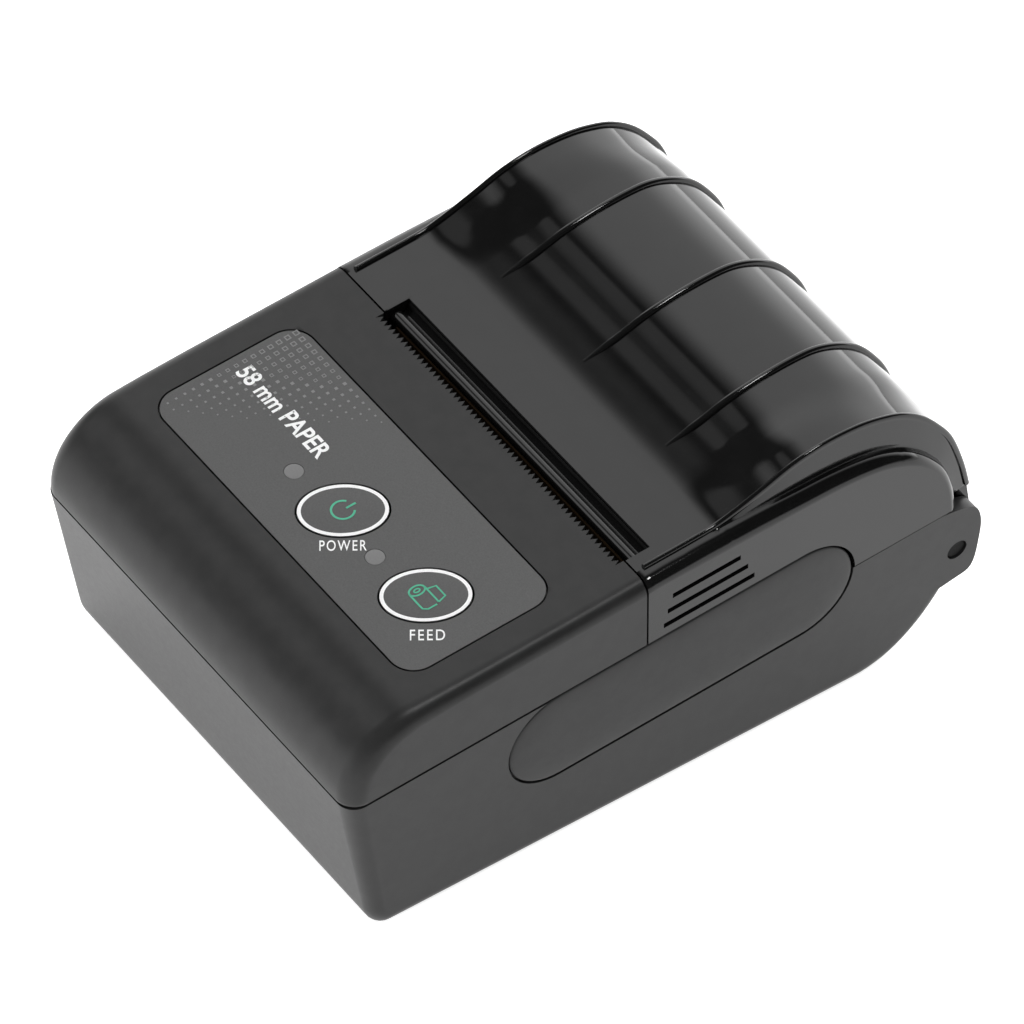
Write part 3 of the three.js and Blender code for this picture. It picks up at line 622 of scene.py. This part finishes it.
def tear_notch():
    pitch, root, tip = TEETH["pitch"], TEETH["root"], TEETH["tip"]
    count = int((SLOT["right"] - SLOT["left"]) / pitch)
    start = (SLOT["left"] + SLOT["right"] - count * pitch) / 2
    comb = [(start, root)]
    for i in range(count):
        comb += [(start + (i + 0.5) * pitch, tip), (start + (i + 1) * pitch, root)]
    end = start + count * pitch
    return prism(comb + [(end, PAST_ALL), (start, PAST_ALL)], -20, ABOVE_TOP)


def panel_holes(grow):
    low = 5
    axes = (KEY["major"] + grow, KEY["minor"] + grow, KEY["turn"])
    keys = [prism(ellipse(spot, *axes), low, ABOVE_TOP) for spot in KEYS.values()]
    windows = [rod_z(WINDOW_RADIUS + grow, low, ABOVE_TOP, *spot) for spot in WINDOWS.values()]
    return keys + windows


def case_run():
    front = [(-FRONT_LEAN * z, z) for z in (10, 2, -6, -14, -22, -27.5)]
    toe_y = -FRONT_LEAN * floor_z(4)
    toe = bezier(front[-1], (toe_y, floor_z(toe_y)), (toe_y + 3, floor_z(toe_y + 3)), 8)
    middle = [(y, floor_z(y)) for y in (20, 40, 60, 80)]
    heel = bezier((92.9, floor_z(92.9)), (104, floor_z(104)), (111.8, -25.3), 14)
    return front[:-1] + toe + middle + heel + [(111.8, -15), (111.8, 10)]


def ear_outline():
    knots = [
        (104, -27), (111.3, -26.3), (114.8, -25.2), (116, -20),
        (116.2, -14.9), (114.6, -11.3), (110, -9.7),
    ]
    return catmull(knots, 5) + [(104, -9.6)]


def case_round(y, z):
    return 3.0 - 0.5 * smooth_step(-z / 30)


def base_shell():
    shell = rounded_shell(case_run(), -1, [(60, 10)], case_round, case_round)
    inner = BULGE_HALF_WIDTH + 0.4
    rear_gap = block(-inner, inner, 104, 120, -25.3, 20)
    carve(shell, [above_parting(-PARTING_HALF_GAP), rear_gap])
    ears = [
        prism(ear_outline(), -HALF_WIDTH, -inner, "side"),
        prism(ear_outline(), inner, HALF_WIDTH, "side"),
    ]
    carve(shell, ears, "UNION")
    recess = stadium(GRIP["radius"] + SEAM_GAP)
    recess_floor = HALF_WIDTH - 1
    cutters = [
        prism(recess, recess_floor, PAST_SIDES, "side"),
        prism(recess, -PAST_SIDES, -recess_floor, "side"),
        door_opening(),
        usb_opening(0.4),
        rod_x(PIN_BORE, -PAST_SIDES, PAST_SIDES, HINGE_Y, HINGE_Z),
        *screw_wells(),
    ]
    carve(shell, cutters)
    draft(shell)
    soften(shell, EDGE_RADIUS)
    return join(shell, case_posts() + parting_tongues())


def door_opening():
    front, back = DOOR["front"] - SEAM_GAP, DOOR["back"] + SEAM_GAP
    half = DOOR["half"] + SEAM_GAP
    outline = [
        (front, BELOW_FLOOR),
        (back, BELOW_FLOOR),
        (back, floor_z(DOOR["back"]) + 3),
        (front, floor_z(DOOR["front"]) + 3),
    ]
    return prism(outline, -half, half, "side")


def usb_opening(gap):
    across = (-PAST_SIDES, -36)
    return block(*across, USB["front"] - gap, USB["back"] + gap, USB["low"] - gap, USB["top"] + gap)


def draft(shell):
    """Narrows the case towards its floor, as the mould needs."""
    for vertex in shell.data.vertices:
        if vertex.co.z < 0:
            vertex.co.x *= 1 + SIDE_DRAFT * vertex.co.z / abs(FLOOR_Z)


def tube_z(outer, bore, low, top, x, y):
    rings = [
        [(u, v, h) for u, v in disc((x, y), r)]
        for r, h in ((bore, low), (outer, low), (outer, top), (bore, top), (bore, low))
    ]
    return ring_stack(rings, cap_low=False, cap_top=False)


def parting_tongues():
    """Strips behind the parting line, which locate the front cover and close the gap to light."""
    outer, inner = HALF_WIDTH - WALL - 0.15, HALF_WIDTH - WALL - 0.85
    front, back, low, high = 6, 37, -1.6, 1.4
    return [block(inner, outer, front, back, low, high), block(-outer, -inner, front, back, low, high)]


def screw_wells():
    spots = CASE_POSTS["spots"] + REAR_POSTS["spots"]
    return [rod_z(SCREW_WELL_RADIUS, BELOW_FLOOR, -29, x, y) for x, y in spots]


def case_posts():
    """Screw posts on the floor, and the ledge that takes the battery door's screw."""
    posts = posts_from(CASE_POSTS, 0.6) + posts_from(REAR_POSTS, 1) + posts_from(MECH_POSTS, 1)
    low = floor_z(DOOR["screw_y"])
    ledge = block(-5, 5, 37.6, 47, low + 2.6, low + 4)
    return posts + [ledge]


def posts_from(posts, sunk):
    """Tubes from inside the floor's thickness up to the posts' tops."""
    return [
        tube_z(posts["radius"], posts["bore"], floor_z(y) + sunk, posts["top"], x, y)
        for x, y in posts["spots"]
    ]


# ---------- paper cover ----------


def cover_row(middle, edge, foot, side, inset=0):
    """Half section: roof, side edge, the wall under it and the bevel down to the flat side."""
    edge_x = BULGE_HALF_WIDTH - inset
    foot_x = WALL_FOOT_X - inset
    side_x = HALF_WIDTH - inset
    row = [(x, *middle) for x in (0, 7, 14, 20, 25)]
    row += [(x, *blend(middle, edge, smooth_step((x - 25) / 8))) for x in (27, 29, 31, 33)]
    row.append((edge_x, *edge))
    for t in (0.08, 0.5, 0.92):
        row.append((edge_x + (foot_x - edge_x) * t, *blend(edge, foot, t)))
    for k in range(8):
        turn = math.pi / 2 * k / 7
        x = foot_x + (side_x - foot_x) * math.sin(turn)
        row.append((x, *blend(foot, side, 1 - math.cos(turn))))
    return row


def station_runs(steps=6):
    return [catmull([station[k] for station in COVER_STATIONS], steps) for k in range(4)]


def cover_shell():
    runs = station_runs()
    outer = [cover_row(*stations) for stations in zip(*runs)]
    lining_runs = [offset_run(run, -WALL) for run in runs]
    inner = [cover_row(*stations, inset=WALL) for stations in zip(*lining_runs)]
    closing = parting_edge(PARTING_HALF_GAP) + [(50, PARTING_HALF_GAP)]
    shell = shell_between(outer, inner, closing)
    cutters = [
        block(-PAST_ALL, PAST_ALL, PAST_FRONT, SEAM_Y, -PAST_ALL, PAST_ALL),
        block(SLOT["left"], SLOT["right"], 40, SLOT["back"], 0, ABOVE_TOP),
        *finger_grooves(),
    ]
    soften(carve(shell, cutters), EDGE_RADIUS)
    half = BULGE_HALF_WIDTH
    barrel = tube_x(BARREL_RADIUS, PIN_BORE, -half, half)
    tail = prism(TAIL[::-1] + offset_run(TAIL, -WALL), -half, half, "side")
    ribs = [bead(runs[0], x, RIBS, RIBS["front"]) for x in RIBS["xs"]]
    ridges = [bead(runs[1], x, RIDGE) for x in (-RIDGE["x"], RIDGE["x"])]
    return join(shell, [barrel, tail, *ribs, *ridges])


def finger_grooves():
    cutters = []
    floor = HALF_WIDTH - GROOVE_DEPTH
    for z, front, back in GROOVES:
        low, high = z - GROOVE_HALF_HEIGHT, z + GROOVE_HALF_HEIGHT
        cutters.append(block(floor, PAST_SIDES, front, back, low, high))
        cutters.append(block(-PAST_SIDES, -floor, front, back, low, high))
    return cutters


def tube_x(outer, bore, left, right, chamfer=0.3):
    """A tube on the hinge axis with chamfered ends."""
    profile = [
        (bore, left),
        (outer - chamfer, left),
        (outer, left + chamfer),
        (outer, right - chamfer),
        (outer - chamfer, right),
        (bore, right),
        (bore, left),
    ]
    rings = [[(x, y, z) for y, z in disc((HINGE_Y, HINGE_Z), radius, 48)] for radius, x in profile]
    return ring_stack(rings, cap_low=False, cap_top=False)


def bead(run, x, size, tip=None):
    """A rounded rib on a run, from the seam at full height or rising from a pointed tip."""
    rings = []
    for (y, z), (ny, nz) in zip(run, run_normals(run)):
        if y < (tip or SEAM_Y):
            continue
        grow = max(smooth_step((y - tip) / 6), 0.02) if tip else 1.0
        reach = size["half"] * (BEAD_TIP + (1 - BEAD_TIP) * grow)
        ring = []
        for k in range(9):
            turn = math.pi * k / 8
            lift = size["height"] * grow * math.sin(turn)
            ring.append((x + reach * math.cos(turn), y + ny * lift, z + nz * lift))
        for side in (-1, 1):
            ring.append((x + side * reach, y - ny * 0.3, z - nz * 0.3))
        rings.append(ring)
    return ring_stack(rings)


def exit_lip():
    """The rolled paper guide behind the tear teeth, with its hollow channel."""
    roll = arc((55.7, 11.75), 1.15, 190, 20, 16)
    channel = bezier(roll[-1], (57.1, 11.1), (58.1, 13.3), 12)
    outline = [(54.5, 10.2)] + roll + channel[1:] + [(58.25, 13.3), (58.25, 10.2)]
    lip = prism(list(reversed(outline)), SLOT["left"] + 0.3, SLOT["right"] - 0.3, "side")
    return soften(lip, 0.08, 50)


# ---------- grips, panel and keys ----------

# Each crown runs from the rim inwards, as (distance in from the outline, height above the face).
GRIP_CROWN = [
    (0, -0.8), (0, -0.25), (0.1, -0.1), (0.3, 0), (0.8, 0.08),
    (1.8, 0.17), (3.2, 0.24), (5, 0.28), (7, 0.3), (8.9, 0.3),
]
CAP_CROWN = [
    (0, -1.6), (0, -0.12), (0.04, -0.03), (0.12, 0.02),
    (0.5, 0.05), (1.6, 0.1), (3.0, 0.12), (4.8, 0.12),
]
WINDOW_CROWN = [(0, -0.9), (0, -0.1), (0.05, -0.02), (0.4, 0.01), (1.1, 0.02)]


def grip_pad(side):
    rings = []
    for inset, proud in GRIP_CROWN:
        outline = stadium(GRIP["radius"] - inset)
        rings.append([(HALF_WIDTH + proud, y, z) for y, z in outline])
    pad = ring_stack(rings)
    if side < 0:
        for vertex in pad.data.vertices:
            vertex.co.x = -vertex.co.x
        pad.data.flip_normals()
    draft(pad)
    return pad


def panel_plate():
    plate = prism(panel_outline(0), TOP_Z - PANEL["thick"], TOP_Z)
    return soften(carve(plate, panel_holes(SEAM_GAP)), 0.06)


def key_cap(spot):
    rings = []
    for inset, proud in CAP_CROWN:
        outline = ellipse(spot, KEY["major"] - inset, KEY["minor"] - inset, KEY["turn"])
        rings.append([(x, y, TOP_Z + proud) for x, y in outline])
    return ring_stack(rings)


def window_disc(spot):
    rim = WINDOW_RADIUS + SEAM_GAP - 0.03
    rings = []
    for inset, proud in WINDOW_CROWN:
        rings.append([(x, y, TOP_Z + proud) for x, y in disc(spot, rim - inset)])
    return ring_stack(rings)


# ---------- printing on the panel ----------

INK_LIFT = 0.03
RING_WIDTH = 0.57
RING_INSET = 0.05
RING_INK_Z = TOP_Z + 0.03
CAP_INK_Z = TOP_Z + 0.13
CAPITAL_HEIGHT = 2.0
LEGENDS = {
    "power": {"text": "POWER", "width": 6.9, "centre": (6.66, 22.41)},
    "feed": {"text": "FEED", "width": 5.1, "centre": (27.7, 22.4)},
}


def ink_plate(outline, level):
    return prism(outline, level, level + INK_LIFT)


def ink_band(outer, inner, low):
    """A closed band of ink between two outlines with the same count."""
    high = low + INK_LIFT
    rings = [
        [(x, y, low) for x, y in inner],
        [(x, y, low) for x, y in outer],
        [(x, y, high) for x, y in outer],
        [(x, y, high) for x, y in inner],
        [(x, y, low) for x, y in inner],
    ]
    return ring_stack(rings, cap_low=False, cap_top=False)


def ink_stroke(points, width, low):
    """An open line of ink with a given width."""
    normals = run_normals(points)
    half = width / 2
    left = [(x + nx * half, y + ny * half) for (x, y), (nx, ny) in zip(points, normals)]
    right = [(x - nx * half, y - ny * half) for (x, y), (nx, ny) in zip(points, normals)]
    return ink_plate(right + list(reversed(left)), low)


def key_ring(spot):
    outer, inner = [
        ellipse(spot, KEY["major"] - inset, KEY["minor"] - inset, KEY["turn"], 96)
        for inset in (RING_INSET, RING_INSET + RING_WIDTH)
    ]
    return ink_band(outer, inner, RING_INK_Z)


def power_symbol(spot):
    """A ring broken at its top by an upright bar."""
    radius, half_gap, stroke = 1.75, 38, 0.33
    ring = arc(spot, radius, 90 + half_gap, 450 - half_gap, 40)
    bar = [(spot[0], spot[1] + 0.6), (spot[0], spot[1] + 2.3)]
    return join(ink_stroke(ring, stroke, CAP_INK_Z), [ink_stroke(bar, stroke, CAP_INK_Z)])


def roll_symbol(spot):
    """A paper roll seen from its end, with the strip coming off its top."""
    stroke = 0.28
    x, y = spot[0] - 0.2, spot[1]
    end = (x - 1.2, y - 0.6)
    rim_inner = ellipse(end, 1.0 - stroke, 1.45 - stroke, 0, 40)
    rim = ink_band(ellipse(end, 1.0, 1.45, 0, 40), rim_inner, CAP_INK_Z)
    core = ink_band(ellipse(end, 0.42, 0.6, 0, 24), ellipse(end, 0.18, 0.36, 0, 24), CAP_INK_Z)
    top = [(x - 1.2, y + 0.75), (x + 2.4, y + 0.75)]
    under = [(x - 1.2, y - 1.95), (x + 2.1, y - 1.95), (x + 2.6, y - 1.3), (x + 2.6, y + 0.3)]
    strip = [(x + 2.4, y + 0.75), (x + 2.0, y + 2.2), (x - 0.3, y + 2.2), (x - 0.6, y + 0.9)]
    lines = [ink_stroke(points, stroke, CAP_INK_Z) for points in (top, under, strip)]
    return join(rim, [core, *lines])


def lettering(text, height, width, centre, turn, weight=0.02, spacing=1.0):
    """Generic lettering, scaled so that its capitals are height tall and the line width long."""
    curve = bpy.data.curves.new("lettering", "FONT")
    curve.body = text
    curve.offset = weight
    curve.space_character = spacing
    curve.extrude = INK_LIFT / 2
    source = bpy.data.objects.new("lettering", curve)
    bpy.context.scene.collection.objects.link(source)
    graph = bpy.context.evaluated_depsgraph_get()
    mesh = bpy.data.meshes.new_from_object(source.evaluated_get(graph))
    discard(source)
    xs = [v.co.x for v in mesh.vertices]
    ys = [v.co.y for v in mesh.vertices]
    middle = Vector(((min(xs) + max(xs)) / 2, (min(ys) + max(ys)) / 2, 0))
    scale = Matrix.Diagonal((width / (max(xs) - min(xs)), height / (max(ys) - min(ys)), 1, 1))
    place = Matrix.Translation((*centre, TOP_Z + INK_LIFT / 2)) @ Matrix.Rotation(turn, 4, "Z")
    mesh.transform(place @ scale @ Matrix.Translation(-middle))
    piece = bpy.data.objects.new("lettering", mesh)
    bpy.context.scene.collection.objects.link(piece)
    return piece


def dot_fade():
    """Small square rings on a grid that shrink to dots and fade towards the keys."""
    pitch, largest, smallest = 1.55, 0.95, 0.22
    squares = []
    for column in range(16):
        for row in range(17):
            x = -PANEL["half"] + 1.6 + column * pitch
            y = PANEL["back"] - 1.3 - row * pitch
            fade = (column * 0.75 + row * 0.62) / 14
            size = largest * (1 - fade)
            if size >= smallest and y >= PANEL["front"] + 1.2:
                squares.append(square_dot((x, y), size))
    return join(squares[0], squares[1:])


def square_dot(spot, size):
    """A square ring, or a filled square when it is small."""
    outer = arc(spot, size * 0.7, 45, 405, 4)[:4]
    if size < 0.55:
        return ink_plate(outer, TOP_Z)
    inner = arc(spot, size * 0.42, 45, 405, 4)[:4]
    return ink_band(outer, inner, TOP_Z)


# ---------- the object ----------


def build_case():
    settle(front_shell(), "case", CASE_PLASTIC, ["front_cover"]).name = "front_shell"
    settle(base_shell(), "case", CASE_PLASTIC, ["lower_case"]).name = "base_shell"
    for side, name in ((-1, "left"), (1, "right")):
        pad = settle(grip_pad(side), "case", GRIP_PLASTIC, ["grip_" + name])
        pad.name = "grip_pad_" + name


def build_cover():
    settle(cover_shell(), "paper_cover", COVER_GLOSS, ["paper_cover"]).name = "cover_shell"
    settle(exit_lip(), "paper_cover", COVER_GLOSS, ["exit_lip"]).name = "rolled_lip"


def build_panel():
    settle(panel_plate(), "case", PANEL_FILM, ["label_panel"]).name = "panel_plate"
    settle(dot_fade(), "case", GREY_INK).name = "panel_dots"
    width_mark = lettering("58 mm PAPER", 3.0, 21.0, (-19.5, 30.4), 0)
    settle(width_mark, "case", WHITE_INK).name = "paper_width_mark"
    for name, mark in LEGENDS.items():
        line = (mark["text"], CAPITAL_HEIGHT, mark["width"], mark["centre"], LEGEND_TURN)
        legend = lettering(*line, weight=0.004, spacing=1.25)
        settle(legend, "case", WHITE_INK).name = name + "_legend"
    for name, spot in WINDOWS.items():
        window = settle(window_disc(spot), "case", WINDOW_PLASTIC, [name + "_window"])
        window.name = name + "_window_disc"


def build_keys():
    symbols = {"power": power_symbol, "feed": roll_symbol}
    for name, spot in KEYS.items():
        body = name + "_key"
        settle(key_cap(spot), body, PANEL_FILM, [body]).name = name + "_cap"
        settle(key_ring(spot), body, WHITE_INK).name = name + "_ring"
        settle(symbols[name](spot), body, GREEN_INK).name = name + "_symbol"


def dress_nodes():
    """Gives each CAD node that stays its finish, and a fine rounding on its edges."""
    slot_of = {part["node"]: part["material_slot"] for part in frame["record"]["subparts"]}
    for name, node in frame["nodes"].items():
        node.data.materials.clear()
        # Hinge pins take the near-black steel, which is painted shade on their ends.
        node.data.materials.append(PIN_STEEL_PAINTED_SHADE if name.startswith("hinge_pin") else FINISHES[slot_of[name]])
        if not node.hide_render:
            edge = node.modifiers.new("edge", "BEVEL")
            edge.width = 0.00008
            edge.segments = 1
            edge.limit_method = "ANGLE"
            edge.angle_limit = math.radians(50)


# ---------- studio ----------

CAMERA_AT = (847.60, -554.49, 1224.48)
CAMERA_AZIMUTH = math.radians(54.162)
CAMERA_ELEVATION = math.radians(49.729)
CAMERA_ROLL = math.radians(-0.417)
LENS_MM = 381.4
SENSOR_MM = 36
FLOOR_REACH = 6.0
FLOOR_Z_M = -0.0002
PATCH_TOWARDS = (-0.524, -0.06, 0.85)
OVERHEAD_TOWARDS = (-0.524, -0.42, 0.741)


def studio_camera():
    lens = bpy.data.cameras.new("camera")
    lens.lens = LENS_MM
    lens.sensor_width = SENSOR_MM
    lens.clip_start = 0.05
    lens.clip_end = 20
    camera = bpy.data.objects.new("camera", lens)
    bpy.context.scene.collection.objects.link(camera)
    aim = (
        Matrix.Translation(CASE_AXES @ Vector(CAMERA_AT))
        @ Matrix.Rotation(TILT, 4, "X")
        @ Matrix.Rotation(CAMERA_AZIMUTH, 4, "Z")
        @ Matrix.Rotation(math.pi / 2 - CAMERA_ELEVATION, 4, "X")
        @ Matrix.Rotation(CAMERA_ROLL, 4, "Z")
    )
    camera.matrix_world = aim
    bpy.context.scene.camera = camera


def studio_floor():
    signs = ((-1, -1), (1, -1), (1, 1), (-1, 1))
    corners = [(x * FLOOR_REACH, y * FLOOR_REACH, FLOOR_Z_M) for x, y in signs]
    floor = new_object("floor", corners, [(0, 1, 2, 3)])
    floor.data.materials.append(floor_material())


def plain_colours():
    bpy.context.scene.view_settings.view_transform = "Standard"


def studio_world():
    """A broad soft source behind and to the left and two smaller ones overhead, over a pale
    horizon and under a dark ceiling."""
    world = bpy.data.worlds.new("studio")
    bpy.context.scene.world = world
    world.use_nodes = True
    tree = world.node_tree
    background = tree.nodes["Background"]
    background.inputs["Color"].default_value = (1, 1, 1, 1)
    place = tree.nodes.new("ShaderNodeTexCoord")
    split = tree.nodes.new("ShaderNodeSeparateXYZ")
    tree.links.new(place.outputs["Generated"], split.inputs[0])
    behind = world_span(tree, split.outputs["Y"], (0.03, 0.19), (0.0, 2.1))
    leftward = world_span(tree, split.outputs["X"], (-0.2, 0.15), (1.0, 0.0))
    softbox = world_math(tree, "MULTIPLY", behind, leftward)
    glow = world_span(tree, split.outputs["Y"], (0.45, 0.9), (0.0, 0.7))
    low_glow = world_math(tree, "MULTIPLY", glow, leftward)
    horizon = world_span(tree, split.outputs["Z"], (0.02, 0.14), (1.2, 0.06))
    patch = world_towards(tree, place, PATCH_TOWARDS, (0.9968, 0.9995), (0.0, 0.6))
    overhead = world_towards(tree, place, OVERHEAD_TOWARDS, (0.96, 0.99), (0.0, 2.1))
    total = horizon
    for source in (low_glow, softbox, patch, overhead):
        total = world_math(tree, "ADD", total, source)
    tree.links.new(total, background.inputs["Strength"])


def world_towards(tree, place, way, given, made):
    dot = tree.nodes.new("ShaderNodeVectorMath")
    dot.operation = "DOT_PRODUCT"
    dot.inputs[1].default_value = way
    tree.links.new(place.outputs["Generated"], dot.inputs[0])
    return world_span(tree, dot.outputs["Value"], given, made)


def world_math(tree, operation, first, second):
    node = tree.nodes.new("ShaderNodeMath")
    node.operation = operation
    tree.links.new(first, node.inputs[0])
    tree.links.new(second, node.inputs[1])
    return node.outputs[0]


def world_span(tree, source, given, made):
    span = tree.nodes.new("ShaderNodeMapRange")
    span.interpolation_type = "SMOOTHSTEP"
    span.inputs["From Min"].default_value, span.inputs["From Max"].default_value = given
    span.inputs["To Min"].default_value, span.inputs["To Max"].default_value = made
    tree.links.new(source, span.inputs["Value"])
    return span.outputs["Result"]


def area_light(name, at, size, strength, glossy=True):
    light = bpy.data.lights.new(name, "AREA")
    light.shape = "RECTANGLE"
    light.size, light.size_y = size
    light.energy = strength
    lamp = bpy.data.objects.new(name, light)
    lamp.location = at
    lamp.rotation_euler = (-Vector(at)).to_track_quat("-Z", "Y").to_euler()
    lamp.visible_camera = False
    lamp.visible_glossy = glossy
    bpy.context.scene.collection.objects.link(lamp)


plain_colours()
studio_camera()
studio_floor()
studio_world()
area_light("edge_light", (0.55, 0.3, 1.4), (0.25, 0.25), 7)
area_light("front_light", (-0.2, -1.2, 0.12), (0.6, 0.2), 17, glossy=False)
build_case()
build_cover()
build_panel()
build_keys()
dress_nodes()
